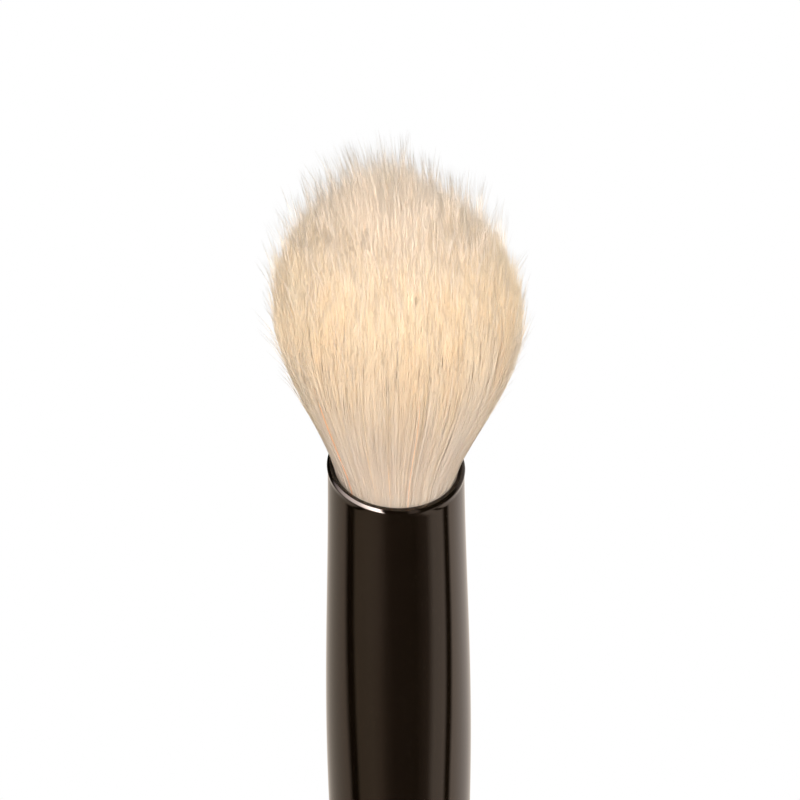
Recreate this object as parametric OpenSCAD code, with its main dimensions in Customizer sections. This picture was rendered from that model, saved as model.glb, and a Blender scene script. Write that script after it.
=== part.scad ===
// Eyeshadow brush with a slant-cut ferrule and an angled, fluffy head.
// The brush stands along +Z with its tail at the origin and its head up.
// The mouth of the ferrule is low at the front, which is -Y, and high at the back.

/* [Handle] */
// Length of the handle that shows, from its tail to the ferrule
handle_length = 105; // [85:1:140]
// Diameter of the handle and of the ferrule where they meet
seam_d = 8.3; // [7:0.02:8.8]
// Length of the straight grip land just below the ferrule
grip_length = 8; // [3:0.5:14]
// Diameter of the handle where the tail starts to round off
tail_d = 4.8; // [3:0.1:6.5]
// Height of the rounded tail
tail_round = 2.4; // [1:0.1:4]
// Diameter of the small flat that the lathe leaves on the tail
tail_flat_d = 1.6; // [1:0.1:2.5]
// Chamfer on both sides of the seam between handle and ferrule
seam_chamfer = 0.06; // [0.02:0.01:0.15]

/* [Tenon] */
// Length of the tenon that the ferrule is glued and crimped to
tenon_length = 10; // [8:0.1:12]
// Thickness of the glue round the tenon at the seam
glue_t = 0.12; // [0.06:0.01:0.2]
// Chamfer on the end of the tenon
tenon_chamfer = 0.5; // [0.2:0.05:1]

/* [Ferrule] */
// Length of the ferrule from the handle to the centre of its mouth
ferrule_length = 30; // [26:0.1:34]
// Diameter of the ferrule where it swells most
swell_d = 9; // [8.6:0.02:10]
// Distance from the centre of the mouth down to the widest place
swell_below = 15; // [12:0.1:17]
// Outside diameter at the mouth
mouth_d = 8.5; // [8:0.02:9]
// Wall of the drawn tube
ferrule_wall = 0.35; // [0.3:0.01:0.5]
// Angle at which the mouth is cut, in degrees
mouth_slant = 33; // [0:1:40]
// How far the rolled lip stands proud of each side of the wall
lip_proud = 0.05; // [0.03:0.005:0.08]
// Depth of each crimp that keys the ferrule into the tenon
crimp_depth = 0.16; // [0.05:0.01:0.25]
// Width of each crimp
crimp_w = 1.2; // [0.8:0.05:1.6]
// Height of the first crimp above the seam
crimp_above = 3; // [2:0.1:4]
// Distance between the two crimps
crimp_pitch = 2; // [1.7:0.1:3]

/* [Roots] */
// Depth of the set roots below the lowest place of the mouth
root_depth = 1.2; // [0.6:0.1:2]
// Gap between the roots and the wall, which the resin fills
root_gap = 0.22; // [0.15:0.01:0.4]
// Length of the bound roots
bundle_length = 3; // [2:0.1:5]
// Thickness of the slice of set roots that the strands grow from
slice_t = 0.4; // [0.2:0.05:0.8]
// Thickness of the resin under the roots
resin_floor = 1; // [0.5:0.1:2]
// Diameter of the binding thread
thread_d = 0.22; // [0.15:0.01:0.3]
// Turns of the binding thread
thread_turns = 4; // [2:1:6]

/* [Hair] */
// Height of the dome above the centre of the mouth, on the axis
hair_height = 17.8; // [14:0.1:24]
// Height of the widest part above the centre of the mouth, at the sides
belly_height = 9.2; // [7:0.1:11]
// Diameter of the head at its widest
belly_d = 16.2; // [13:0.1:20]
// How far the front tips lie below the back ones, in degrees
dome_slant = 26; // [0:1:32]
// Most that one strand is longer or shorter than its neighbours
tip_ragged = 0.5; // [0:0.05:0.8]
// Rings of strands: 11 rings hold 396 strands
strand_rings = 11; // [10:1:12]

/* [Hidden] */

// Every cut runs this far past what it cuts.
overrun = 1;
// Gap left between faces that are bonded together.
fit = 0.015;
// Sides of the circles that the round pieces are turned from.
turned_sides = 96;
// Steps along one curved stretch of an outline.
curve_steps = 16;
// Steps across one crimp.
crimp_steps = 8;
// Sides of the round section of the lip and of the thread.
bead_sides = 16;
// Distance between two turns of thread, as a share of its diameter.
thread_lay_share = 0.9;

seam_r = seam_d / 2;
tail_r = tail_d / 2;
tail_flat_r = tail_flat_d / 2;
swell_r = swell_d / 2;
mouth_r = mouth_d / 2;
belly_r = belly_d / 2;

seam_z = handle_length;
mouth_z = seam_z + ferrule_length;
swell_z = mouth_z - swell_below;
mouth_slope = tan(mouth_slant);
dome_slope = tan(dome_slant);
crimp_zs = [seam_z + crimp_above, seam_z + crimp_above + crimp_pitch];

// The roots sit below the lowest place of the mouth, and the resin below and round them.
root_r = mouth_r - ferrule_wall - lip_proud - root_gap;
root_z = mouth_z - mouth_slope * mouth_r - root_depth;
bundle_top = root_z - slice_t;
bundle_bottom = bundle_top - bundle_length;
resin_bottom = bundle_bottom - resin_floor;

// Rises from 0 to 1 along half a cosine wave, level at both ends.
function ease(t) = (1 - cos(180 * min(1, max(0, t)))) / 2;
// Evenly spaced values from a to b.
function spaced(a, b, steps) = [for (i = [0:steps]) a + (b - a) * i / steps];
// Depth of the crimps at one height.
function crimp(z) = crimp_depth * max([for (c = crimp_zs) 1 - ease(abs(z - c) / (crimp_w / 2))]);
// Radius of the ferrule before it is crimped: two eased curves that meet at the swell.
function swollen_r(z) = z > swell_z
  ? swell_r - (swell_r - mouth_r) * ease((z - swell_z) / swell_below)
  : swell_r - (swell_r - seam_r) * ease((swell_z - z) / (swell_z - seam_z));
function outer_r(z) = swollen_r(z) - crimp(z);
function bore_r(z) = outer_r(z) - ferrule_wall;
function tenon_r(z) = seam_r - ferrule_wall - glue_t - fit - crimp(z);
// Heights that an outline needs across the crimps.
crimp_heights = [for (c = crimp_zs) each spaced(c - crimp_w / 2, c + crimp_w / 2, crimp_steps)];

// Turned wooden handle with its tenon. The taper is a parabola that leaves the grip land level.
module handle() {
  grip_z = seam_z - grip_length;
  tail = [for (z = spaced(0, tail_round, curve_steps))
    [tail_flat_r + (tail_r - tail_flat_r) * sqrt(1 - pow(1 - z / tail_round, 2)), z]];
  taper = [for (z = spaced(tail_round, grip_z, curve_steps))
    [seam_r - (seam_r - tail_r) * pow((grip_z - z) / (grip_z - tail_round), 2), z]];
  tenon_top = seam_z + tenon_length;
  tenon = [for (z = crimp_heights) [tenon_r(z), z]];
  color([0.07, 0.055, 0.045])
    rotate_extrude($fn = turned_sides)
      polygon(concat(
        [[0, 0]],
        tail,
        [for (i = [1:curve_steps]) taper[i]],
        [[seam_r, seam_z - seam_chamfer], [seam_r - seam_chamfer, seam_z], [tenon_r(seam_z), seam_z]],
        tenon,
        [[tenon_r(tenon_top), tenon_top - tenon_chamfer], [tenon_r(tenon_top) - tenon_chamfer, tenon_top]],
        [[0, tenon_top]]
      ));
}

// Set glue between the tenon and the bore of the ferrule.
module tenon_glue() {
  low = seam_z + fit;
  high = seam_z + tenon_length - tenon_chamfer;
  heights = concat([low], crimp_heights, spaced(crimp_heights[len(crimp_heights) - 1], high, crimp_steps));
  outside = [for (z = heights) [bore_r(z) - fit, z]];
  inside = [for (z = heights) [tenon_r(z) + fit, z]];
  color([0.85, 0.78, 0.6])
    rotate_extrude($fn = turned_sides)
      polygon(concat(outside, [for (i = [len(inside) - 1:-1:0]) inside[i]]));
}

// Drawn tube, swollen below its mouth, crimped above the seam, with a rolled lip on the slanted cut.
module ferrule() {
  top = mouth_z + mouth_slope * mouth_r + overrun;
  heights = concat(
    crimp_heights,
    spaced(crimp_heights[len(crimp_heights) - 1], swell_z, curve_steps),
    spaced(swell_z, mouth_z, curve_steps),
    [top]
  );
  outside = concat(
    [[seam_r - seam_chamfer, seam_z], [seam_r, seam_z + seam_chamfer]],
    [for (z = heights) [outer_r(z), z]]
  );
  inside = concat([[bore_r(seam_z), seam_z]], [for (z = heights) [bore_r(z), z]]);
  color([0.06, 0.045, 0.035]) {
    difference() {
      rotate_extrude($fn = turned_sides)
        polygon(concat(outside, [for (i = [len(inside) - 1:-1:0]) inside[i]]));
      translate([0, 0, mouth_z])
        rotate([mouth_slant, 0, 0])
          translate([-mouth_d, -mouth_d, 0])
            cube([2 * mouth_d, 2 * mouth_d, mouth_d]);
    }
    lip();
  }
}

// Rolled edge of the mouth: a ring, sheared so that it lies along the cut.
module lip() {
  translate([0, 0, mouth_z])
    multmatrix([[1, 0, 0, 0], [0, 1, 0, 0], [0, mouth_slope, 1, 0], [0, 0, 0, 1]])
      rotate_extrude($fn = turned_sides)
        translate([mouth_r - ferrule_wall / 2, 0])
          circle(r = ferrule_wall / 2 + lip_proud, $fn = bead_sides);
}

// Cup of set resin that holds the roots in the ferrule.
module resin_plug() {
  outside = [for (z = spaced(resin_bottom, root_z, crimp_steps)) [bore_r(z) - fit, z]];
  color([0.75, 0.66, 0.42])
    rotate_extrude($fn = turned_sides)
      polygon(concat(
        [[0, resin_bottom]],
        outside,
        [[root_r + fit, root_z], [root_r + fit, bundle_bottom - fit], [0, bundle_bottom - fit]]
      ));
}

// Root ends of the hair, set hard, with a waist where the thread draws them in.
module root_bundle() {
  middle = (bundle_top + bundle_bottom) / 2;
  half = ((thread_turns - 1) * thread_d * thread_lay_share + thread_d) / 2 + fit;
  waist_r = root_r - thread_d - fit;
  color([0.8, 0.68, 0.5])
    rotate_extrude($fn = turned_sides)
      polygon([
        [0, bundle_bottom], [root_r, bundle_bottom],
        [root_r, middle - half], [waist_r, middle - half],
        [waist_r, middle + half], [root_r, middle + half],
        [root_r, bundle_top - fit], [0, bundle_top - fit]
      ]);
}

// Thread wound round the roots, with its turns pressed together.
module binding_thread() {
  middle = (bundle_top + bundle_bottom) / 2;
  lay = thread_d * thread_lay_share;
  color([0.9, 0.88, 0.82])
    rotate_extrude($fn = turned_sides)
      for (i = [0:thread_turns - 1])
        translate([root_r - thread_d / 2, middle + (i - (thread_turns - 1) / 2) * lay])
          circle(d = thread_d, $fn = bead_sides);
}

// Heights along a strand, as shares of its free length, and its thickness there
// as a share of its root. The first pair is where the strand leaves the mouth.
level_shares = [0, 0.3, 0.64];
thickness_shares = [0.62, 0.95, 0.8];
// How much of the flare is drawn back in above the belly.
lean_in_share = 0.5;
// Powers of the curves: above 1 the flare starts slowly, and above 2 the dome is blunter than an ellipse.
flare_power = 1.25;
dome_power = 2.4;
ragged_seed = 7;
// Each ring of roots is turned this many degrees against the one inside it.
ring_turn = 2.6;

// The roots lie on a lattice of rings: ring j has 6 j points, and 6 j of the triangles
// outside ring j - 1 each carry a strand. Strands keep their direction from the axis
// and their order along it, so none crosses another.
function at(j, k) = j == 0 ? 0 : 1 + 3 * j * (j - 1) + k % (6 * j);
lattice = concat([[0, 0]],
  [for (j = [1:strand_rings]) for (k = [0:6 * j - 1])
    let (turn = 60 * k / j + ring_turn * j)
      root_r * j / strand_rings * [cos(turn), sin(turn)]]);
strands = [for (j = [1:strand_rings]) for (q = [0:5]) for (i = [0:j - 1])
  [at(j, q * j + i), at(j, q * j + i + 1), at(j - 1, q * (j - 1) + i)]];
bare = [for (j = [2:strand_rings]) for (q = [0:5]) for (i = [0:j - 2])
  [at(j - 1, q * (j - 1) + i), at(j, q * j + i + 1), at(j - 1, q * (j - 1) + i + 1)]];
ragged = rands(-tip_ragged, tip_ragged, len(strands), ragged_seed);

function centre(s) = (lattice[s[0]] + lattice[s[1]] + lattice[s[2]]) / 3;
// Height above the centre of the mouth at which strands on one side leave it.
function leave_height(side) = mouth_slope * root_r * side;
function belly_rise(side) = belly_height + dome_slope * belly_r * side - leave_height(side);
// Flare of the outermost strand at a height h above where it leaves the mouth.
function flare(h, side) = let (wave = sin(90 * h / belly_rise(side)))
  h < belly_rise(side)
    ? root_r + (belly_r - root_r) * pow(wave, flare_power)
    : belly_r - (belly_r - root_r) * lean_in_share * (1 - wave);
function free_length(c, side, extra) = let (share = norm(c) / root_r)
  belly_height + (hair_height - belly_height) * pow(1 - share * share, 1 / dome_power)
  + dome_slope * belly_r * c[1] / root_r - leave_height(side) + extra;
// Section of a strand at height h: its root triangle, thinned and carried out by the flare.
function section(s, c, side, h, thick) = [for (v = s)
  let (p = c * flare(h, side) / root_r + (lattice[v] - c) * thick)
    [p[0], p[1], mouth_z + leave_height(side) + h]];
function strand_points(s, extra) = let (
    c = centre(s),
    side = c[1] / norm(c),
    free = free_length(c, side, extra)
  ) concat(
    [for (i = [0:len(level_shares) - 1]) each section(s, c, side, free * level_shares[i], thickness_shares[i])],
    [section(s, c, side, free, 0)[0]]
  );

// Walls of one strand: a the three points below, b the three above, both counter-clockwise.
function walls(a, b) = [for (i = [0:2]) let (n = (i + 1) % 3) each [[a[i], b[i], b[n]], [a[i], b[n], a[n]]]];
function three(first) = [first, first + 1, first + 2];

// Hair of the head, one body with the slice of set roots that it grows from.
module hair_tuft() {
  rim = 6 * strand_rings;
  rim_first = at(strand_rings, 0);
  levels = len(level_shares);
  per_strand = 3 * levels + 1;
  first = len(lattice);
  base_first = first + len(strands) * per_strand;
  base_middle = base_first + rim;
  points = concat(
    [for (p = lattice) [p[0], p[1], root_z]],
    [for (n = [0:len(strands) - 1]) each strand_points(strands[n], ragged[n])],
    [for (k = [0:rim - 1]) let (p = lattice[rim_first + k]) [p[0], p[1], bundle_top]],
    [[0, 0, bundle_top]]
  );
  strand_faces = [for (n = [0:len(strands) - 1]) let (start = first + n * per_strand)
    each concat(
      walls(strands[n], three(start)),
      [for (i = [1:levels - 1]) each walls(three(start + 3 * (i - 1)), three(start + 3 * i))],
      let (last = start + 3 * (levels - 1))
        [for (i = [0:2]) [last + i, start + per_strand - 1, last + (i + 1) % 3]]
    )];
  slice_faces = [for (k = [0:rim - 1]) let (n = (k + 1) % rim) each [
    [base_first + k, rim_first + k, rim_first + n],
    [base_first + k, rim_first + n, base_first + n],
    [base_middle, base_first + k, base_first + n]
  ]];
  color([0.93, 0.83, 0.68])
    polyhedron(
      points = points,
      faces = concat([for (t = bare) [t[0], t[2], t[1]]], strand_faces, slice_faces),
      convexity = 10
    );
}

handle();
tenon_glue();
ferrule();
resin_plug();
root_bundle();
binding_thread();
hair_tuft();
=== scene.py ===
# %% [markdown]
# # An eyeshadow brush
# This lesson dresses a small make-up brush: a fluffy hair head that flares out of a glossy,
# slant-cut ferrule, on a slim lacquered handle. The brush stands along +Z with its tail at
# the origin. The low side of the ferrule's mouth faces the camera, which looks about along +Y.

import math

import bpy
import numpy as np
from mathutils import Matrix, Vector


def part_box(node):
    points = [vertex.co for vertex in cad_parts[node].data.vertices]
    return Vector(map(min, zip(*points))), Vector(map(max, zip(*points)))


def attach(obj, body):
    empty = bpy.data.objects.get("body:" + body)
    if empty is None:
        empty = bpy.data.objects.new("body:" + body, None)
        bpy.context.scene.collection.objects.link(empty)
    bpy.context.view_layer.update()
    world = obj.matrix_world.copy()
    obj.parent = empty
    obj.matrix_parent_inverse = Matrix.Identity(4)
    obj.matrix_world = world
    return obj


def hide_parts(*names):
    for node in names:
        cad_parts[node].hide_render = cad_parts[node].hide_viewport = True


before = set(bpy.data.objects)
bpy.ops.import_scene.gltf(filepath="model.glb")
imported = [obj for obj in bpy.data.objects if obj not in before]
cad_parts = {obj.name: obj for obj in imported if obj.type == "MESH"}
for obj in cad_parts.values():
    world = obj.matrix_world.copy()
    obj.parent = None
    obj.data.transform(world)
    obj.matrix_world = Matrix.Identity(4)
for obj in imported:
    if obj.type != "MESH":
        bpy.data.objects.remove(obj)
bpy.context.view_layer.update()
print("solids:", ", ".join(sorted(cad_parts)))

# %% [markdown]
# ## Sizes
# Blender works in metres and a brush maker in millimetres, so every size is a number times
# MM. What another piece has to meet is read from the solids of model.glb, so that it can't drift
# away.

# %% Sizes of the ferrule and of its mouth
MM = 0.001

ferrule_low, ferrule_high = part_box("ferrule")
seam_z = ferrule_low.z
seam_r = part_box("handle")[1].x
swell_r = ferrule_high.x
mouth_r = 4.25 * MM
wall = 0.35 * MM
lip_proud = 0.05 * MM
lip_r = wall / 2 + lip_proud
mouth_slope = math.tan(math.radians(33))
mouth_z = ferrule_high.z - lip_r - mouth_slope * (mouth_r - wall / 2)
swell_depth = 15 * MM
swell_z = mouth_z - swell_depth
print(f"seam at {seam_z / MM:.2f} mm, centre of the mouth at {mouth_z / MM:.2f} mm")

# %% [markdown]
# ## Shader maths
# Node trees are easier to read as sums. This class wraps one socket, and each operator adds
# the Math node that it stands for. The reflected forms let `1 - mask` work too.


# %% Numbers that vary over a surface
class Value:
    """A socket that carries one number. Sums, products and quotients of it add Math nodes."""

    def __init__(self, tree, socket):
        self.tree, self.socket = tree, socket

    def beside(self, output):
        """Another output of the same node, by its name or number."""
        return Value(self.tree, self.socket.node.outputs[output])

    def maths(self, operation, *terms):
        """A Math node of one operation, with its terms in order."""
        node = self.tree.nodes.new("ShaderNodeMath")
        node.operation = operation
        for slot, term in zip(node.inputs, terms):
            if isinstance(term, Value):
                self.tree.links.new(term.socket, slot)
            else:
                slot.default_value = term
        return Value(self.tree, node.outputs[0])

    def __add__(self, other):
        return self.maths("ADD", self, other)

    def __radd__(self, other):
        return self.maths("ADD", other, self)

    def __sub__(self, other):
        return self.maths("SUBTRACT", self, other)

    def __rsub__(self, other):
        return self.maths("SUBTRACT", other, self)

    def __mul__(self, other):
        return self.maths("MULTIPLY", self, other)

    def __rmul__(self, other):
        return self.maths("MULTIPLY", other, self)

    def __truediv__(self, other):
        return self.maths("DIVIDE", self, other)

    def __rtruediv__(self, other):
        return self.maths("DIVIDE", other, self)


# %% [markdown]
# One method makes every other node: its type, then its settings, then its sockets. A finish
# starts as one Principled shader, whose plain numbers are set on its own sockets.


# %% Finishes
class Finish:
    """The node tree of a material or of the world, with one method that adds a node."""

    def __init__(self, owner):
        owner.use_nodes = True
        self.tree = owner.node_tree
        self.tree.nodes.clear()

    def node(self, kind, settings=None, output=0, **sockets):
        """Adds a node. A ramp's stops are settings, and a socket's name has _ for a space. A
        socket whose name others share is called _ and its number."""
        made = self.tree.nodes.new("ShaderNode" + kind)
        for name, setting in (settings or {}).items():
            if name == "stops":
                self.set_stops(made.color_ramp, setting)
            else:
                setattr(made, name, setting)
        for name, value in sockets.items():
            self.join(made.inputs[self.place(name)], value)
        return Value(self.tree, made.outputs[output]) if len(made.outputs) else made

    @staticmethod
    def place(name):
        """The number after the _, or else the name with its spaces."""
        return int(name[1:]) if name[1:].isdigit() else name.replace("_", " ")

    @staticmethod
    def set_stops(ramp, stops):
        """Gives a ramp its stops: a position from 0 to 1 and a colour each."""
        while len(ramp.elements) < len(stops):
            ramp.elements.new(1)
        for element, (position, colour) in zip(ramp.elements, stops):
            element.position = position
            element.color = (*colour, 1)

    def join(self, socket, value):
        """Links a value to a socket, or sets a plain number or colour on it."""
        if isinstance(value, Value):
            self.tree.links.new(value.socket, socket)
        else:
            socket.default_value = value


def surface_finish(name):
    """A new material with an empty node tree."""
    material = bpy.data.materials.new(name)
    return material, Finish(material)


# %% [markdown]
# ## Surfaces from arrays
# Every new piece is a grid of points worked out as one array. Joined round, and capped at
# its ends, the grid closes into a solid skin whose faces point outwards.


# %% Mesh helpers
def mesh_object(name, points, corners, sizes, uvs=None):
    """Puts arrays into a mesh: points, the corners of all faces in a row, and each face's size."""
    mesh = bpy.data.meshes.new(name)
    mesh.vertices.add(len(points))
    mesh.vertices.foreach_set("co", np.asarray(points, np.float32).ravel())
    mesh.loops.add(len(corners))
    mesh.loops.foreach_set("vertex_index", np.asarray(corners, np.int32))
    starts = np.concatenate([[0], np.cumsum(sizes)[:-1]])
    mesh.polygons.add(len(sizes))
    mesh.polygons.foreach_set("loop_start", starts.astype(np.int32))
    mesh.polygons.foreach_set("use_smooth", np.ones(len(sizes), bool))
    if uvs is not None:
        layer = mesh.uv_layers.new(name="OFBake")
        layer.uv.foreach_set("vector", np.asarray(uvs, np.float32).ravel())
    mesh.update(calc_edges=True)
    mesh.validate()
    piece = bpy.data.objects.new(name, mesh)
    bpy.context.scene.collection.objects.link(piece)
    return piece


def ring_grid(rows, columns, closed):
    """Corners of the quads between rows of points: columns join round, and rows too if closed."""
    row = np.arange(rows if closed else rows - 1)[:, None]
    column = np.arange(columns)[None, :]
    right = (column + 1) % columns
    low, high = row * columns, (row + 1) % rows * columns
    quads = [low + column, low + right, high + right, high + column]
    return np.stack(np.broadcast_arrays(*quads), -1).reshape(-1, 4)


# %% [markdown]
# ## The ferrule
# The real one is a drawn tube. It swells gently below the mouth, narrows towards the handle,
# and two rolled crimps near the seam bite into the tenon. It could be a revolve, but a revolve
# alone can't make the slanted mouth, so each grid column is stretched up to the height of the
# cut on its side.


# %% Outline of the ferrule
crimp_depth, crimp_width = 0.16 * MM, 1.2 * MM
crimp_heights = seam_z + np.array([3, 5]) * MM
seam_chamfer = 0.06 * MM


def ease(t):
    """Half a cosine wave: 0 up to t = 0, 1 from t = 1 on, and level at both ends."""
    return (1 - np.cos(np.pi * np.clip(t, 0, 1))) / 2


def crimped(z):
    """How deep the crimps are at height z: each is an eased dip, its width across."""
    return crimp_depth * sum(1 - ease(np.abs(z - c) / (crimp_width / 2)) for c in crimp_heights)


def outer_radius(z):
    """The swell's radius, less two eased falls towards mouth and seam, less the crimps."""
    to_mouth = (swell_r - mouth_r) * ease((z - swell_z) / (mouth_z - swell_z))
    to_seam = (swell_r - seam_r) * ease((swell_z - z) / (swell_z - seam_z))
    return swell_r - to_mouth - to_seam - crimped(z)


# %% Surface of the ferrule
def ferrule_surface(columns=256, wall_rows=150, lip_rows=14):
    """Grid of a closed tube: up the outside, over the lip, down the bore and across the seam.
    A wall point at share t stands t of the way from the seam to the cut on its side. A lip
    point lies on a circle round the middle of the wall, sheared along the cut."""
    angle = np.linspace(0, 2 * np.pi, columns, endpoint=False)[None, :]
    side = np.sin(angle)
    share = np.linspace(0, 1, wall_rows)[:, None]
    lip_start = math.acos(wall / 2 / lip_r)

    def wall_points(inset, shares):
        top = mouth_z + mouth_slope * (mouth_r - inset) * side - lip_r * math.sin(lip_start)
        z = seam_z + (top - seam_z) * shares
        return outer_radius(z) - inset, z

    outside_r, outside_z = wall_points(0, share)
    bore_r, bore_z = wall_points(wall, share[::-1])
    outside_r[0] -= seam_chamfer
    outside_z[1] = seam_z + seam_chamfer
    outside_r[1] = outer_radius(outside_z[1])
    turn = np.linspace(-lip_start, np.pi + lip_start, lip_rows)[1:-1, None]
    round_r = mouth_r - wall / 2 + lip_r * np.cos(turn) + 0 * angle
    round_z = mouth_z + mouth_slope * round_r * side + lip_r * np.sin(turn)
    radius = np.concatenate([outside_r, round_r, bore_r])
    height = np.concatenate([outside_z, round_z, bore_z])
    points = np.stack([radius * np.cos(angle), radius * side, height], -1).reshape(-1, 3)
    quads = ring_grid(len(radius), columns, closed=True)
    return mesh_object("ferrule_shell", points, quads.ravel(), np.full(len(quads), 4))


ferrule = ferrule_surface()
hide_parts("ferrule")
print("ferrule faces:", len(ferrule.data.polygons))

# %% [markdown]
# Its finish is a deep brown-black enamel under a clear, wet gloss. Enamel is never optically
# flat: a faint orange-peel bump bends the reflections, and the gloss varies a little where
# fingers have held it. Fine dust specks are lighter and duller. An image could be wrapped round
# the tube, but textures worked out from Object coordinates have no seam there.


# %% Enamel and lacquer
speck_size = 0.085
smudge_dulls, dust_dulls = 0.05, 0.3
grey_dust = (0.2, 0.18, 0.15)


def mixed(finish, share, first, second):
    """Two colours mixed: plain ones are tuples, and a mixed one can go in again."""
    first, second = [c if isinstance(c, Value) else (*c, 1) for c in (first, second)]
    return finish.node("Mix", {"data_type": "RGBA"}, output=2, _0=share, _6=first, _7=second)


def gloss_finish(name, dark, light, peel_scale, roughness, tint, dust):
    """Dark gloss: the colour drifts between two near-blacks, roughness by smudges and dust."""
    material, finish = surface_finish(name)
    place = finish.node("TexCoord", output=3)
    drift = finish.node("TexNoise", Vector=place, Scale=260, Detail=3)
    smudge = finish.node("TexNoise", Vector=place, Scale=900, Detail=4, Roughness=0.6)
    specks = finish.node("TexVoronoi", Vector=place, Scale=2600)
    speck = specks.maths("LESS_THAN", specks, speck_size) * dust
    peel = finish.node("TexNoise", Vector=place, Scale=peel_scale, Detail=2)
    shader = finish.node(
        "BsdfPrincipled",
        Base_Color=mixed(finish, speck, mixed(finish, drift, dark, light), grey_dust),
        Roughness=roughness + smudge * smudge_dulls + speck * dust_dulls,
        Normal=finish.node("Bump", Strength=0.05, Distance=0.00004, Height=peel),
        Specular_Tint=(*tint, 1),
        Coat_Weight=0.3,
        Coat_Roughness=0.03,
    )
    finish.node("OutputMaterial", Surface=shader)
    return material


warm_black = (0.0016, 0.0009, 0.0005)
enamel = gloss_finish(
    "brown_black_enamel",
    dark=warm_black,
    light=(0.003, 0.0018, 0.001),
    peel_scale=1100,
    roughness=0.05,
    tint=(1.0, 0.86, 0.74),
    dust=0.06,
)
lacquer = gloss_finish(
    "brown_black_lacquer",
    dark=warm_black,
    light=(0.004, 0.0022, 0.0012),
    peel_scale=700,
    roughness=0.07,
    tint=(1.0, 0.86, 0.74),
    dust=0.05,
)
ferrule.data.materials.append(enamel)
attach(ferrule, "root")
print("gloss finishes:", enamel.name, "and", lacquer.name)

# %% [markdown]
# ## The handle
# A turned handle is one outline spun round: a small flat where it left the lathe, a round
# tail, a taper that leaves the grip land level, and the tenon inside the ferrule. A Screw
# modifier on a curve would do it too, but as an array the outline shares the crimps' formula,
# so the tenon's grooves can't miss them.


# %% Outline of the handle
tail_r, tail_round, tail_flat = 2.4 * MM, 2.4 * MM, 0.8 * MM
land_length = 8 * MM
grip_z = seam_z - land_length
glue_gap, tenon_chamfer = 0.135 * MM, 0.5 * MM
glue_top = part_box("tenon_glue")[1].z
tenon_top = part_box("handle")[1].z


def handle_outline(tail_rows=28, taper_rows=90, land_rows=14, tenon_rows=80):
    """Radius and height from tail to tenon: quarter ellipse, parabola, land, step and tenon."""
    turn = np.linspace(0, np.pi / 2, tail_rows)
    tail = [tail_flat + (tail_r - tail_flat) * np.sin(turn), tail_round * (1 - np.cos(turn))]
    s = np.linspace(0, 1, taper_rows)[1:]
    taper = [seam_r - (seam_r - tail_r) * (1 - s) ** 2, tail_round + (grip_z - tail_round) * s]
    land_z = np.linspace(grip_z, seam_z - seam_chamfer, land_rows)[1:]
    land = [np.full(len(land_z), seam_r), land_z]
    shoulder = [[seam_r - seam_chamfer], [seam_z]]
    core_r = seam_r - wall - glue_gap
    tenon_z = np.linspace(seam_z, glue_top, tenon_rows)
    tenon = [core_r - crimped(tenon_z), tenon_z]
    end = [[core_r - tenon_chamfer], [tenon_top]]
    parts = [tail, taper, land, shoulder, tenon, end]
    return np.concatenate([p[0] for p in parts]), np.concatenate([p[1] for p in parts])


# %% Surface of the handle
def turned(name, radius, height, columns=192):
    """An outline spun round the Z axis. Each end is closed by one flat face."""
    angle = np.linspace(0, 2 * np.pi, columns, endpoint=False)[None, :]
    r, z = radius[:, None], height[:, None] + 0 * angle
    points = np.stack([r * np.cos(angle), r * np.sin(angle), z], -1).reshape(-1, 3)
    quads = ring_grid(len(radius), columns, closed=False)
    low = np.arange(columns)[::-1]
    high = (len(radius) - 1) * columns + np.arange(columns)
    corners = np.concatenate([quads.ravel(), low, high])
    sizes = np.concatenate([np.full(len(quads), 4), [columns, columns]])
    return mesh_object(name, points, corners, sizes)


handle = turned("handle_body", *handle_outline())
handle.data.materials.append(lacquer)
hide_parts("handle")
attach(handle, "root")
print("handle faces:", len(handle.data.polygons))

# %% [markdown]
# ## What the ferrule hides
# Glue, resin, bound roots and thread are closed in, yet anyone who takes the brush apart
# should find them finished. Their solids have the right shape, so they only get materials:
# two kinds, one for what was poured and one for what is made of fibres.


# %% Glue and resin
bubble_density = 4


def cured_finish(name, thin, thick, scale):
    """Cured glue or resin: amber that is deeper in places, with a few small bubbles."""
    material, finish = surface_finish(name)
    place = finish.node("TexCoord", output=3)
    depth = finish.node("TexNoise", Vector=place, Scale=scale, Detail=3)
    bubble = finish.node("TexVoronoi", Vector=place, Scale=scale * bubble_density)
    shader = finish.node(
        "BsdfPrincipled",
        Base_Color=mixed(finish, depth, thin, thick),
        Roughness=0.18 + depth * 0.15,
        Normal=finish.node("Bump", Strength=0.3, Distance=0.00005, Height=bubble),
    )
    finish.node("OutputMaterial", Surface=shader)
    return material


# %% Set roots and thread
def fibre_finish(name, pale, deep, along, across):
    """Fibres: a noise stretched along them gives both their colour and their ridges."""
    material, finish = surface_finish(name)
    place = finish.node("TexCoord", output=3)
    stretched = finish.node("Mapping", Vector=place, Scale=(across, across, along))
    grain = finish.node("TexNoise", Vector=stretched, Scale=1, Detail=4)
    shader = finish.node(
        "BsdfPrincipled",
        Base_Color=mixed(finish, grain, deep, pale),
        Roughness=0.45 + grain * 0.3,
        Normal=finish.node("Bump", Strength=0.6, Distance=0.00004, Height=grain),
    )
    finish.node("OutputMaterial", Surface=shader)
    return material


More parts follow.
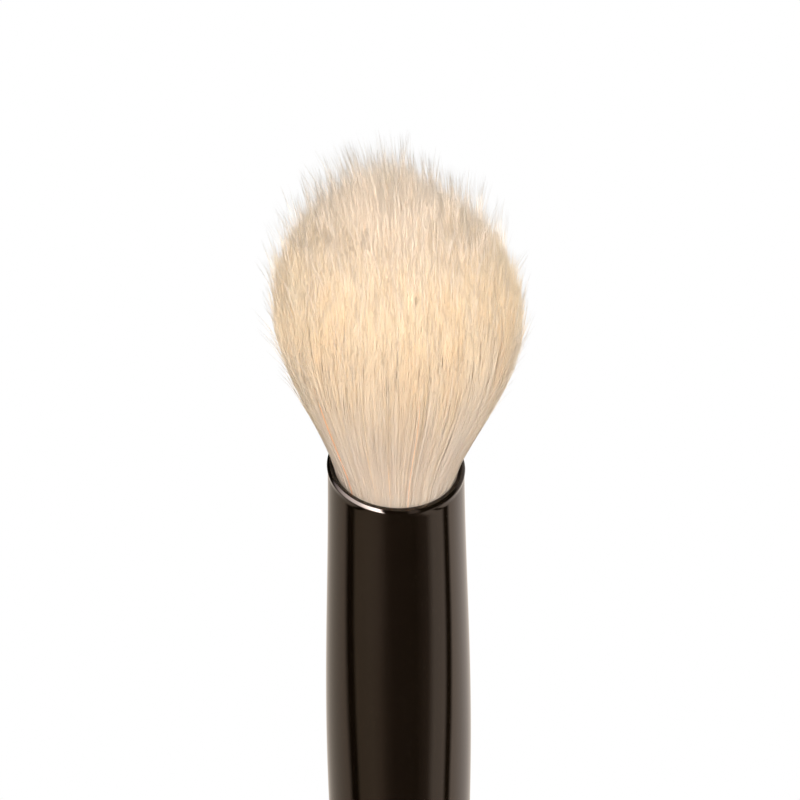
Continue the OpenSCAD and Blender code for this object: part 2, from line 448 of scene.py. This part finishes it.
# %% Finishes of the hidden pieces
root_pale, root_deep = (0.72, 0.55, 0.36), (0.42, 0.28, 0.15)
thread_pale, thread_deep = (0.8, 0.74, 0.62), (0.6, 0.52, 0.4)
inner_finishes = {
    "tenon_glue": cured_finish("cured_glue", (0.62, 0.5, 0.3), (0.45, 0.32, 0.15), scale=900),
    "resin_plug": cured_finish("cured_resin", (0.6, 0.45, 0.22), (0.4, 0.26, 0.1), scale=700),
    "root_bundle": fibre_finish("set_roots", root_pale, root_deep, along=300, across=9000),
    "binding_thread": fibre_finish(
        "waxed_thread", thread_pale, thread_deep, along=9000, across=1500
    ),
}
for node_name, inner in inner_finishes.items():
    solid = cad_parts[node_name]
    solid.data.materials.clear()
    solid.data.materials.append(inner)
print("finished inside:", ", ".join(inner_finishes))

# %% [markdown]
# ## The hair head
# Real hair heads hold many thousand hairs that are all tied at one place. Blender has hair
# curves for that, but an exported model needs surfaces, and combing by hand can't be repeated.
# So each hair is described by where it is rooted: a share of the mouth's radius, and an angle.
# Hairs keep their order: an outer one stays outside. They leave the mouth along its slant,
# flare like a sine wave up to the belly, lean in a little above it, and end on a slanted dome.

# %% Sizes of the head
hair_clearance, root_rise = 0.06 * MM, 0.2 * MM
root_r = mouth_r - wall - lip_proud - hair_clearance
root_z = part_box("hair_tuft")[0].z + root_rise
belly_r = 7.45 * MM
belly_height = 9.2 * MM
hair_height = 19.3 * MM
dome_slope = math.tan(math.radians(26))
flare_power, lean_in, crown_fall, shoulder_power = 1.35, 0.3, 0.6, 14
print(f"head {2 * belly_r / MM:.1f} mm wide, {hair_height / MM:.1f} mm above the mouth's centre")


# %% Shape of the head
def leave_height(angle):
    """Height of the mouth's cut above its centre, on one side: slope x radius x sine."""
    return mouth_slope * root_r * np.sin(angle)


def spread(share, angle, z):
    """Distance from the axis at height z: the share of the flare, which is a sine wave raised
    to a power up to the belly, and above it falls back by a part of what the wave falls."""
    leave = leave_height(angle)
    rise = belly_height + dome_slope * belly_r * np.sin(angle) - leave
    climb = np.maximum(z - mouth_z - leave, 0)
    wave = np.sin(np.pi / 2 * climb / rise)
    below = root_r + (belly_r - root_r) * np.maximum(wave, 0) ** flare_power
    above = belly_r - (belly_r - root_r) * lean_in * (1 - wave)
    return share * np.where(climb < rise, below, above)


def tip_height(share, angle):
    """Height of the dome where a hair ends: a cone's straight fall over the share, times the
    root of 1 less a high power of the share, which rounds its shoulder, tilted by the slant."""
    inside = np.minimum(share, 1)
    dome = (1 - crown_fall * inside) * np.sqrt(1 - inside**shoulder_power)
    tilt = dome_slope * belly_r * share * np.sin(angle)
    return mouth_z + belly_height + (hair_height - belly_height) * dome + tilt


# %% [markdown]
# Hair that is only evenly spread looks like wire. Real hairs gather: every dozen or so lean
# together at their tips and make the small spikes that the outline shows, and larger locks
# bend their own way. So each hair is drawn towards the path of its lock, and bends with it.
# The roots follow the golden angle, which packs any number of them evenly.


# %% Roots and their bunches
golden_angle = math.pi * (3 - math.sqrt(5))
share_jitter, angle_jitter = 0.004, 0.006
slice_size = 1500


def scattered_roots(count, inner, outer, rng):
    """Roots spread like sunflower seeds between two shares of the radius, a little jittered."""
    n = np.arange(count) + 0.5
    share = np.sqrt(inner**2 + (outer**2 - inner**2) * n / count)
    share = np.clip(share + rng.normal(0, share_jitter, count), share_jitter, outer)
    return share, n * golden_angle + rng.normal(0, angle_jitter, count)


def nearest(share, angle, bunch_share, bunch_angle):
    """Number of the bunch rooted nearest to each hair: least squared distance, in slices."""
    root = np.stack([share * np.cos(angle), share * np.sin(angle)], -1)
    bunch = np.stack([bunch_share * np.cos(bunch_angle), bunch_share * np.sin(bunch_angle)], -1)
    slices = np.array_split(root, max(1, len(root) // slice_size))
    apart = (((s[:, None] - bunch[None]) ** 2).sum(-1) for s in slices)
    return np.concatenate([np.argmin(squares, axis=1) for squares in apart])


def bunches(count, roots, rng):
    """Where so many bunches are rooted, and which of them each hair belongs to."""
    places = scattered_roots(count, 0, 1, rng)
    return (*places, nearest(*roots, *places))


# %% Paths of the hairs
loosest_pull, outward_lean = 0.6, 1.5
shortest_hair = 2 * MM
loose_height, loose_power = 9 * MM, 1.5
lock_pull, lock_lean, tuft_pull = 0.06, 0.08 * MM, 0.95
outward_stray, own_stray = 0.12 * MM, 0.18 * MM
head_bend, head_swing = -0.6 * MM, 0.35 * MM


def gathered(points, bunch, rise, pull, lean, rng):
    """Draws hairs towards the path of their bunch, by pull x rise, and leans each bunch its
    way: by a random length to any side, and by a random length outwards."""
    bunch_share, bunch_angle, mine = bunch
    x, y, z = points
    cos, sin = np.cos(bunch_angle[mine])[:, None], np.sin(bunch_angle[mine])[:, None]
    radius = spread(bunch_share[mine][:, None], bunch_angle[mine][:, None], z)
    sway = rng.normal(0, lean, (len(bunch_share), 3))[mine]
    tight = pull * rng.uniform(loosest_pull, 1, len(bunch_share))[mine][:, None]
    outwards = np.abs(sway[:, 2:]) * outward_lean
    x = x + rise * (tight * (radius * cos - x) + sway[:, :1] + outwards * cos)
    y = y + rise * (tight * (radius * sin - y) + sway[:, 1:2] + outwards * sin)
    return x, y, z


def hair_paths(roots, extra, levels, locks, tufts, lean, rng):
    """Points along each hair. It leaves the mouth, follows its share of the spread up to the
    dome, and its last part goes astray: with its lock, with its tuft, outwards and on its own,
    each by a length times a power of the share t of the way to its tip. Last, the whole head
    bends to one side by the cube of its height, and swings to the other by a parabola."""
    share, angle = roots[0][:, None], roots[1][:, None]
    leave = mouth_z + leave_height(angle)
    free = np.maximum(tip_height(share, angle) + extra[:, None] - leave, shortest_hair)
    t = np.maximum(levels, 0)[None, :]
    z = np.where(levels[None, :] < 0, root_z, leave + free * t)
    radius = spread(share, angle, z)
    x, y = radius * np.cos(angle), radius * np.sin(angle)
    loose = np.clip((z - leave) / loose_height, 0, 1) ** loose_power
    points = gathered((x, y, z), locks, t**3, lock_pull, lock_lean, rng)
    x, y, z = gathered(points, tufts, t**5 * loose, tuft_pull, lean, rng)
    outwards = np.abs(rng.normal(0, outward_stray, len(extra)))[:, None] * t**5 * loose
    own = rng.normal(0, own_stray, (len(extra), 2))
    x = x + outwards * np.cos(angle) + own[:, :1] * t**3 * loose
    y = y + outwards * np.sin(angle) + own[:, 1:] * t**3 * loose
    climb = np.maximum((z - mouth_z) / hair_height, 0)
    x = x + head_bend * climb**3 + head_swing * 4 * climb * (1 - climb)
    return np.stack([x, y, z], -1)


# %% [markdown]
# Each hair is a tube of only three sides that ends in a point, because there are thousands.
# Its map is a strip: across goes its tint, and along goes root to tip. All hairs share the
# same small map, so a bake of it stays sharp however many hairs there are.


# %% Tubes along the paths
tapered_part, taper_power = 0.25, 0.6
side_turns = 7


def hair_mesh(name, paths, levels, width, tint, along):
    """Three-sided tubes: rings square to each path, as wide as the hair, and one tip point.
    Neighbours are turned differently, so that their flat sides don't line up."""
    count, rows = paths.shape[:2]
    tangent = np.gradient(paths, axis=1)
    tangent /= np.linalg.norm(tangent, axis=-1, keepdims=True)
    across = np.cross(tangent, [0.0, 1.0, 0.0])
    across /= np.linalg.norm(across, axis=-1, keepdims=True)
    upright = np.cross(tangent, across)
    t = np.maximum(levels, 0)
    taper = np.minimum(1, (1 - t) / tapered_part) ** taper_power
    half = (width[:, None] / 2 * taper[None, :])[..., None, None]
    turn = np.arange(3) * 2 * np.pi / 3 + (np.arange(count) % side_turns)[:, None]
    turn = turn[:, None, :, None]
    side = np.cos(turn) * across[:, :, None] + np.sin(turn) * upright[:, :, None]
    rings = paths[:, :, None] + half * side
    body = rings[:, :-1].reshape(count, -1, 3)
    points = np.concatenate([body, paths[:, -1:]], axis=1).reshape(-1, 3)
    each = 3 * (rows - 1) + 1
    quads = ring_grid(rows - 1, 3, closed=False)
    last = 3 * (rows - 2)
    tips = np.array([[last + k, last + (k + 1) % 3, last + 3] for k in range(3)])
    one = np.concatenate([quads.ravel(), tips.ravel(), [2, 1, 0]])
    corners = (one[None, :] + each * np.arange(count)[:, None]).ravel()
    sizes = np.tile([4] * len(quads) + [3] * 4, count)
    uvs = hair_map(one, each, rows, along, tint)
    return mesh_object(name, points, corners, sizes, uvs)


# %% Map of the hairs
margin, sliver = 0.015, 1 / 600


def hair_map(one, each, rows, along, tint):
    """Map places of every corner: tint plus a sliver for the side, and the way along the hair.
    A margin keeps both off the edges of the map."""
    ring = np.minimum(one // 3, rows - 1)
    side = np.where(one == each - 1, 1, one % 3) - 1
    inside = 1 - 2 * margin
    u = tint[:, None] * inside + margin + sliver * side[None, :]
    return np.stack([u, np.clip(along[:, ring] * inside + margin, 0, 1)], -1)


# %% [markdown]
# The colour comes from that map. Most hairs are cream to honey, some nearly white, and near
# the ferrule they are a more neutral beige, darkened there by painted shade. The crown is paler
# than the belly, and at the top of the dome its thin loose tips are greyed by painted shade.


# %% Colour of a hair
hair_tints = [
    (0.0, (0.8, 0.33, 0.16)),
    (0.04, (0.88, 0.5, 0.27)),
    (0.1, (0.985, 0.9, 0.79)),
    (0.35, (0.985, 0.915, 0.83)),
    (0.55, (0.985, 0.925, 0.865)),
    (0.75, (0.975, 0.915, 0.87)),
    (0.92, (0.94, 0.89, 0.85)),
    (0.94, (0.99, 0.96, 0.92)),
]
# Tone and painted shade along a hair: darker and more neutral at the root, a painted shade where
# the ferrule's mouth shades it, yellower on the shaft, and grey at the tip, a painted shade at the
# top of the dome.
tone_and_painted_shade_along = [
    (0.0, (0.95, 0.955, 0.97)),
    (0.08, (0.98, 0.985, 0.995)),
    (0.22, (0.985, 0.985, 0.985)),
    (0.5, (1.0, 0.99, 0.95)),
    (0.7, (1.0, 0.99, 0.95)),
    (0.88, (1.0, 1.0, 0.99)),
    (1.0, (0.88, 0.88, 0.88)),
]
# Painted shade: the dark tips of the greyish hairs take this grey.
painted_shade_grey = (0.5, 0.46, 0.42, 1)
multiply = {"data_type": "RGBA", "blend_type": "MULTIPLY"}


def hair_colour(finish, tint, along, tip_painted_shade):
    """The tint's colour, times tone and painted shade along the hair, times painted grey at dark
    tips.
    """
    base = finish.node("ValToRGB", {"stops": hair_tints}, Fac=tint)
    shade = finish.node("ValToRGB", {"stops": tone_and_painted_shade_along}, Fac=along)
    shaded = finish.node("Mix", multiply, output=2, _0=1.0, _6=base, _7=shade)
    return finish.node("Mix", multiply, output=2, _0=tip_painted_shade, _6=shaded, _7=painted_shade_grey)


# %% [markdown]
# Light runs on from hair to hair, which makes a head of them glow softly. Subsurface
# scattering is meant for thicker things, so Translucent shaders pass the light on here. Their
# colours are plain, and only the shares in which they are mixed change over the hair.


# %% Light that goes through hair
def passed(finish, value, low, high):
    """How much of the way from low to high a value has gone, from 0 to 1."""
    return finish.node("MapRange", Value=value, _1=low, _2=high)


def blended(finish, share, first, second):
    """Two shaders mixed by a share."""
    return finish.node("MixShader", _0=share, _1=first, _2=second)


def passing_light(finish, tint, along):
    """The light that a hair lets through. Its colour changes from step to step along it: from
    a grey beige in the ferrule, which is painted shade, to beige, then by the tint to honey or
    cream on the belly, then to the pale crown and to grey tips, painted shade at the top of the
    dome."""

    def through(*colour):
        return finish.node("BsdfTranslucent", Color=(*colour, 1))

    honey, cream = through(0.985, 0.891, 0.75), through(0.99, 0.95, 0.874)
    belly = blended(finish, passed(finish, tint, 0.1, 0.97), honey, cream)
    beige = through(0.962, 0.897, 0.82)
    neck = blended(finish, passed(finish, along, 0.15, 0.5), beige, belly)
    # Painted shade: hair in the ferrule's mouth lets through a darker grey beige.
    grey_beige = through(0.92, 0.86, 0.79)
    shaft = blended(finish, passed(finish, along, 0, 0.08), grey_beige, neck)
    pale = through(0.985, 0.928, 0.865)
    crown = blended(finish, passed(finish, along, 0.7, 0.88), shaft, pale)
    # Painted shade: the tips at the top of the dome let through grey.
    grey = through(0.72, 0.67, 0.6)
    return blended(finish, passed(finish, along, 0.88, 1), crown, grey)


# %% Hair finish
# How far the painted shade darkens those tips.
painted_shade_strength = 0.6


def hair_finish(name, translucence):
    """The tint picks a colour, and the way along the hair adds tone and painted shade; greyish
    hairs get dark tips, also painted shade. Auburn hairs and the painted dark tips let less light
    through than the rest."""
    material, finish = surface_finish(name)
    place = finish.node("UVMap", {"uv_map": "OFBake"})
    tint = finish.node("SeparateXYZ", Vector=place)
    along = tint.beside(1)
    shade_tipped_hair = passed(finish, tint, 0.6, 0.75)
    # Painted shade: the last fifth of each greyish hair darkens towards grey.
    tip_painted_shade = passed(finish, along, 0.8, 1) * shade_tipped_hair * painted_shade_strength
    shader = finish.node(
        "BsdfPrincipled",
        Base_Color=hair_colour(finish, tint, along, tip_painted_shade),
        Roughness=0.42 + tint * 0.12,
        Specular_IOR_Level=0.3,
    )
    not_auburn = passed(finish, tint, 0, 0.1)
    share = not_auburn * (1 - tip_painted_shade) * translucence
    surface = blended(finish, share, shader, passing_light(finish, tint, along))
    finish.node("OutputMaterial", Surface=surface)
    return material


hair_look = hair_finish("soft_hair", translucence=0.85)
wispy_look = hair_finish("wispy_hair", translucence=0.96)
print("hair finishes:", hair_look.name, "and", wispy_look.name)

# %% [markdown]
# Several pieces share the head, so that none grows too large: each is a ring of the mouth,
# from the core, which ends at the top of the dome, to the sheath, which the cone shows. A hair
# has a ring of points at each level: -1 is its root, 0 is in the mouth, and 1 is its tip.

# %% From paths to a piece of the head
levels = np.array([-1, 0, 0.13, 0.28, 0.44, 0.6, 0.76, 0.89, 1.0])


def finished_hair(name, paths, width, tint, along, look):
    """Puts the hairs' mesh on the brush, with its hair finish."""
    piece = hair_mesh(name, paths, levels, width, tint, along)
    piece.data.materials.append(look)
    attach(piece, "root")
    print(f"{name}: {len(paths)} hairs, {len(piece.data.polygons)} faces")
    return piece


# %% Rings of the head
lock_count, tuft_count = 150, 1500
tuft_lean = 0.18 * MM
short_share, short_length = 0.3, 1.4 * MM
rim_unevenness, crown_unevenness, tuft_unevenness = 0.15, 0.2, 0.14 * MM
thinnest, thickest, core_gain = 0.037, 0.049, 0.6
usual_tint, tint_spread, lock_tint_spread, tint_range = 0.37, 0.045, 0.14, (0.1, 0.6)
pale_share, pale_tint, pale_width = 0.008, 0.97, 0.06 * MM
map_height = 20 * MM


def hair_ring(name, count, inner, outer, seed):
    """One ring of the head. Three in ten hairs stop short, so that tips show on the way up. The
    nearer a hair is rooted to the middle, the thicker it is: it stands in for several."""
    rng = np.random.default_rng(seed)
    roots = scattered_roots(count, inner, outer, rng)
    from_rim = 1 - roots[0]
    is_short = rng.random(count) < short_share
    short = np.where(is_short, rng.exponential(short_length, count), 0)
    locks, tufts = bunches(lock_count, roots, rng), bunches(tuft_count, roots, rng)
    unevenness = (rim_unevenness + crown_unevenness * from_rim**2) * MM
    extra = rng.normal(0, 1, count) * unevenness - short
    extra = extra + rng.normal(0, tuft_unevenness, tuft_count)[tufts[2]]
    paths = hair_paths(roots, extra, levels, locks, tufts, tuft_lean, rng)
    width = rng.uniform(thinnest, thickest, count) * (1 + core_gain * from_rim) * MM
    lock_tint = rng.normal(0, lock_tint_spread, lock_count)[locks[2]]
    tint = np.clip(rng.normal(usual_tint, tint_spread, count) + lock_tint, *tint_range)
    pale = rng.random(count) < pale_share
    height = (paths[..., 2] - mouth_z - leave_height(roots[1])[:, None]) / map_height
    width, tint = np.where(pale, pale_width, width), np.where(pale, pale_tint, tint)
    return finished_hair(name, paths, width, tint, np.maximum(height, 0), hair_look)


# How many hairs, the inner and outer share of the mouth's radius, and the seed.
rings = {
    "hair_core": (4200, 0.0, 0.5, 11),
    "hair_middle": (4300, 0.5, 0.68, 12),
    "hair_fill": (4300, 0.68, 0.8, 15),
    "hair_mantle": (4300, 0.8, 0.89, 14),
    "hair_cover": (4300, 0.89, 0.95, 16),
    "hair_sheath": (4300, 0.95, 1.0, 13),
}
hair = [hair_ring(name, *ring) for name, ring in rings.items()]
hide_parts("hair_tuft")

# %% [markdown]
# What makes hair look soft is its outline: single tips and small pointed wisps that stand a
# millimetre or two proud. They could come from longer hairs in the rings, but as a piece of
# their own they can be thinner at the tips and let more light through.


# %% Wisps
wisp_share_spread, wisp_angle_spread, wisp_lean = 0.012, 0.014, 0.5 * MM
outer_wisps, lowest_outer, lowest_inner, proudest = 0.8, -3.5, 0.3, 2.6
shortest_of_wisp = 0.7
wisp_tint, wisp_tint_spread, wisp_tint_range = 0.5, 0.08, (0.3, 0.9)
thinnest_wisp, thickest_wisp = 0.042, 0.055


def hair_wisps(name, wisps, each, seed):
    """Wisps spread over the whole head: the hairs of one wisp are rooted close together. Those
    near the rim may end below the dome, and so stand out from the belly."""
    rng = np.random.default_rng(seed)
    centres = scattered_roots(wisps, 0.05, 1, rng)
    mine = np.repeat(np.arange(wisps), each)
    count = wisps * each
    share = np.clip(centres[0][mine] + rng.normal(0, wisp_share_spread, count), 0.02, 1)
    angle = centres[1][mine] + rng.normal(0, wisp_angle_spread, count)
    lowest = np.where(centres[0] > outer_wisps, lowest_outer, lowest_inner)
    proud = (lowest + (proudest - lowest) * rng.random(wisps))[mine]
    proud = proud * rng.uniform(shortest_of_wisp, 1, count) * MM
    locks = bunches(lock_count, (share, angle), rng)
    paths = hair_paths((share, angle), proud, levels, locks, (*centres, mine), wisp_lean, rng)
    tint = np.clip(rng.normal(wisp_tint, wisp_tint_spread, count), *wisp_tint_range)
    width = rng.uniform(thinnest_wisp, thickest_wisp, count) * MM
    along = np.maximum(levels, 0) + 0 * tint[:, None]
    return finished_hair(name, paths, width, tint, along, wispy_look)


hair_wisps("hair_wisps", wisps=1050, each=4, seed=21)

# %% [markdown]
# A few red-brown hairs were bundled in with the rest, and they catch the eye on the pale cone.
# Each lies on its skin, and is its own lock and its own tuft, so it keeps its place there.


# %% Auburn hairs
just_outside = 1.006
auburn_lean, auburn_width = 0.3 * MM, 0.055 * MM


def auburn_hairs():
    """Five hairs on the skin of the cone, at given angles and of given lengths."""
    rng = np.random.default_rng(23)
    angle = np.radians([-138.5, -112.0, -99.0, -83.0, 40.0])
    share = np.full(len(angle), just_outside)
    own = (share, angle, np.arange(len(angle)))
    extra = np.array([-1.5, -3.5, -5.0, -0.5, -1.0]) * MM
    paths = hair_paths((share, angle), extra, levels, own, own, auburn_lean, rng)
    width = np.full(len(angle), auburn_width)
    tint = np.array([0.0, 0.07, 0.06, 0.04, 0.03])
    along = np.maximum(levels, 0) + 0 * tint[:, None]
    return finished_hair("auburn_hairs", paths, width, tint, along, hair_look)


auburn_hairs()

# %% [markdown]
# ## The set
# The photo has a plain white surround. The world is white to the camera, and to polished
# surfaces it shows a studio: white behind the brush, black cards at its sides, a large soft
# window on the left and a narrow one on the right. They draw the long stripes of the gloss. A
# bright window hangs higher up on the left, where only the rounded lip of the ferrule mirrors
# it: a straight wall can't. Panels round the brush could do the same, but they would stand in
# the way of other views.

# %% What stands round the brush
stripe_stops = [
    (-180, (0.9, 0.8, 0.7)), (-120, (0.8, 0.68, 0.56)), (-97, (0.8, 0.64, 0.52)),
    (-88, (0, 0, 0)), (-77, (0, 0, 0)), (-71, (0.46, 0.36, 0.26)), (-44, (0.5, 0.4, 0.3)),
    (-31, (0.38, 0.29, 0.22)), (-19, (0.16, 0.12, 0.09)), (-7, (0.07, 0.05, 0.04)),
    (30, (0.05, 0.04, 0.03)), (50, (0.22, 0.17, 0.14)), (61, (0.9, 0.78, 0.68)),
    (81, (1.0, 0.85, 0.74)), (87, (0.03, 0.02, 0.01)), (94, (0.03, 0.02, 0.01)),
    (100, (1.3, 1.1, 0.95)), (130, (1.25, 1.1, 1.0)), (180, (0.9, 0.8, 0.7)),
]
window_stops = [
    (-100, (0, 0, 0)), (-86, (3.0, 2.6, 2.6)), (-50, (11, 10, 10)), (-26, (30, 28, 28)),
    (-20, (30, 28, 28)), (-16, (0.02, 0.01, 0.01)), (16, (0.02, 0.01, 0.01)),
    (20, (0.6, 0.5, 0.45)), (30, (0.6, 0.5, 0.45)), (34, (0.02, 0.02, 0.01)),
    (90, (0.02, 0.02, 0.01)), (100, (0.5, 0.42, 0.38)), (180, (0.6, 0.55, 0.5)),
]
print("stripes:", len(stripe_stops), "stops, raised windows:", len(window_stops), "stops")

# %% [markdown]
# The bearing of a direction is its angle round the brush, with 0 where the camera stands. It
# is stretched a little below eye level and drawn in above it, so that the stripes lean as the
# edges of a window do. What lights the hair is plain and white, a little less from behind and
# from above.

# %% World
camera_bearing, elevation = math.radians(-3.5), math.radians(2)
lean_limit, stripe_lean = 0.1, 0.9
raised_from, raised_to = 0.07, 0.16
daylight, less_from_behind, less_from_above = 0.38, 0.05, 0.08

world = bpy.data.worlds.new("white_studio")
bpy.context.scene.world = world
studio = Finish(world)
east = studio.node("SeparateXYZ", Vector=studio.node("TexCoord"))
north, high = east.beside(1), east.beside(2)
above = high + math.sin(elevation)
leaning = above.maths("MAXIMUM", above.maths("MINIMUM", above, lean_limit), -lean_limit)
bearing = east.maths("ARCTAN2", east, north * -1) - camera_bearing
half_turn = bearing * (1 - leaning * stripe_lean) / (2 * math.pi) + 0.5


def round_the_brush(turns):
    """A ramp round the brush: colours at bearings in degrees, 0 where the camera stands."""
    stops = [((degrees / 180 + 1) / 2, colour) for degrees, colour in turns]
    return studio.node("ValToRGB", {"stops": stops}, Fac=half_turn)


smooth = {"interpolation_type": "SMOOTHSTEP"}
raised = studio.node("MapRange", smooth, Value=above, _1=raised_from, _2=raised_to)
stripes, windows = round_the_brush(stripe_stops), round_the_brush(window_stops)
mirrored = studio.node("Background", Color=mixed(studio, raised, stripes, windows))
light = daylight - north * less_from_behind - high * less_from_above
lighting = studio.node("Background", Color=(1, 0.985, 0.96, 1), Strength=light)
seen = studio.node("Background", Color=(1, 1, 1, 1), Strength=1.0)
to_camera = studio.node("LightPath")
to_gloss = to_camera.beside("Is Glossy Ray")
shown = blended(studio, to_camera, blended(studio, to_gloss, lighting, mirrored), seen)
studio.node("OutputWorld", Surface=shown)
print("world:", world.name, "with", len(studio.tree.nodes), "nodes")

# %% [markdown]
# The floor is pale paper and keeps the brush's shadow. To the camera it fades into plain white
# with distance, so that no edge shows and the surround is as white as the photo's. Seen from
# below or in the gloss it is clear, so that it never hides the brush or the studio.


# %% Floor
floor_drop = 0.1 * MM
fade_start, fade_end, least_white = 0.05, 0.5, 0.3


def paper_finish():
    """White paper, mixed with plain white for the camera and with nothing where unseen."""
    material, finish = surface_finish("white_paper")
    place = finish.node("TexCoord", output=3)
    grain = finish.node("TexNoise", Vector=place, Scale=300, Detail=4)
    pale = (0.92, 0.92, 0.92, 1)
    paper = finish.node("BsdfPrincipled", Base_Color=pale, Roughness=0.85 + grain * 0.1)
    distance = finish.node("VectorMath", {"operation": "LENGTH"}, output=1, _0=place)
    faded = finish.node(
        "MapRange", Value=distance, _1=fade_start, _2=fade_end, _3=least_white, _4=1.0
    )
    white = finish.node("Emission", Color=(1, 1, 1, 1), Strength=1.0)
    to_camera = finish.node("LightPath")
    to_gloss = to_camera.beside("Is Glossy Ray")
    lit = blended(finish, to_camera * faded, paper, white)
    below = finish.node("NewGeometry", output=6)
    unseen = below.maths("MAXIMUM", below, to_gloss)
    clear = finish.node("BsdfTransparent")
    finish.node("OutputMaterial", Surface=blended(finish, unseen, lit, clear))
    return material


def pale_floor(half=2.5):
    """One large square just under the tail."""
    corners = np.array([[-1, -1, 0], [1, -1, 0], [1, 1, 0], [-1, 1, 0]]) * half
    corners[:, 2] = -floor_drop
    floor = mesh_object("pale_floor", corners, np.arange(4), np.array([4]))
    floor.data.materials.append(paper_finish())
    print(f"floor: {2 * half} m square")


pale_floor()

# %% [markdown]
# Two soft lamps stand in front of the brush, a little above its head, and light it evenly. A
# weak one behind it keeps its back from going dark. A narrow round beam from beside the camera
# adds to them in the upper middle of the head, so that the light falls off to the outline as
# in the photo, where the loose tips look grey against the white.


# %% Lamps
def lamp_data(name, kind, watts, colour, **settings):
    """Light data of one kind, with its power, colour and shape."""
    data = bpy.data.lights.new(name, kind)
    data.energy, data.color = watts, colour
    for key, value in settings.items():
        setattr(data, key, value)
    return data


def aimed_lamp(name, data, bearing_degrees, elevation_degrees, target, distance=0.6):
    """Stands a lamp on a sphere round its target and turns it there. Gloss doesn't show it."""
    b, e = math.radians(bearing_degrees), math.radians(elevation_degrees)
    away = np.array([math.sin(b) * math.cos(e), -math.cos(b) * math.cos(e), math.sin(e)])
    lamp = bpy.data.objects.new(name, data)
    lamp.location = target + away * distance
    lamp.rotation_mode = "QUATERNION"
    lamp.rotation_quaternion = Vector(away).to_track_quat("Z", "Y")
    lamp.visible_glossy = False
    bpy.context.scene.collection.objects.link(lamp)
    print(f"{name}: {data.energy:.1f} W at {bearing_degrees} degrees, {elevation_degrees} up")


# %% The four lamps
head_centre = np.array([0.0, 0.0, mouth_z + 7 * MM])
face_centre = np.array([0.0, 0.0, mouth_z + 14.8 * MM])
narrow = {"spot_size": math.radians(2.1), "spot_blend": 1, "shadow_soft_size": 0.003}

key = lamp_data("key_light", "AREA", 3.9, (1.0, 0.98, 0.95), size=0.3)
fill = lamp_data("fill_light", "AREA", 4.0, (1.0, 0.99, 0.97), size=0.3)
beam = lamp_data("beam_light", "SPOT", 40, (1.0, 0.98, 0.95), **narrow)
rear = lamp_data("rear_light", "AREA", 2.6, (1.0, 0.98, 0.96), size=0.3)
aimed_lamp("key_lamp", key, -9, 18, head_centre)
aimed_lamp("fill_lamp", fill, 2, 16, head_centre)
aimed_lamp("beam_lamp", beam, -2, 10, face_centre)
aimed_lamp("rear_lamp", rear, 172, 8, head_centre)

# %% [markdown]
# ## The camera
# It stands half a metre away, two degrees above level, with a long lens, and leans by less
# than a degree as the photo does. The scale of the photo and the pixel where the mouth's
# centre lies say where it points.

# %% Where the camera stands and points
image_size = 800
pixels_per_mm = 16.1
mouth_pixel = (396.0, 466.7)
lean = math.radians(0.6)
distance = 0.5

sin_b, cos_b = math.sin(camera_bearing), math.cos(camera_bearing)
sin_e, cos_e = math.sin(elevation), math.cos(elevation)
back = np.array([sin_b * cos_e, -cos_b * cos_e, sin_e])
level_right = np.array([cos_b, sin_b, 0])
level_up = np.cross(back, level_right)
right = level_right * math.cos(lean) - level_up * math.sin(lean)
up = level_up * math.cos(lean) + level_right * math.sin(lean)
offset = [image_size / 2 - mouth_pixel[0], mouth_pixel[1] - image_size / 2]
aim = np.array([0, 0, mouth_z]) + (right * offset[0] + up * offset[1]) / pixels_per_mm * MM
eye = aim + back * distance
print("camera at", [round(v / MM) for v in eye], "mm")

# %% Camera
sensor = 36.0
camera_data = bpy.data.cameras.new("camera")
camera_data.sensor_width = sensor
camera_data.lens = sensor * distance / (image_size / pixels_per_mm * MM)
camera_data.clip_start = 0.05
camera = bpy.data.objects.new("camera", camera_data)
turned_rows = [[*row, place] for row, place in zip(np.stack([right, up, back], 1), eye)]
camera.matrix_world = Matrix(turned_rows + [[0, 0, 0, 1]])
bpy.context.scene.collection.objects.link(camera)
bpy.context.scene.camera = camera
bpy.context.scene.view_settings.view_transform = "Standard"
print(f"lens: {camera_data.lens:.0f} mm")
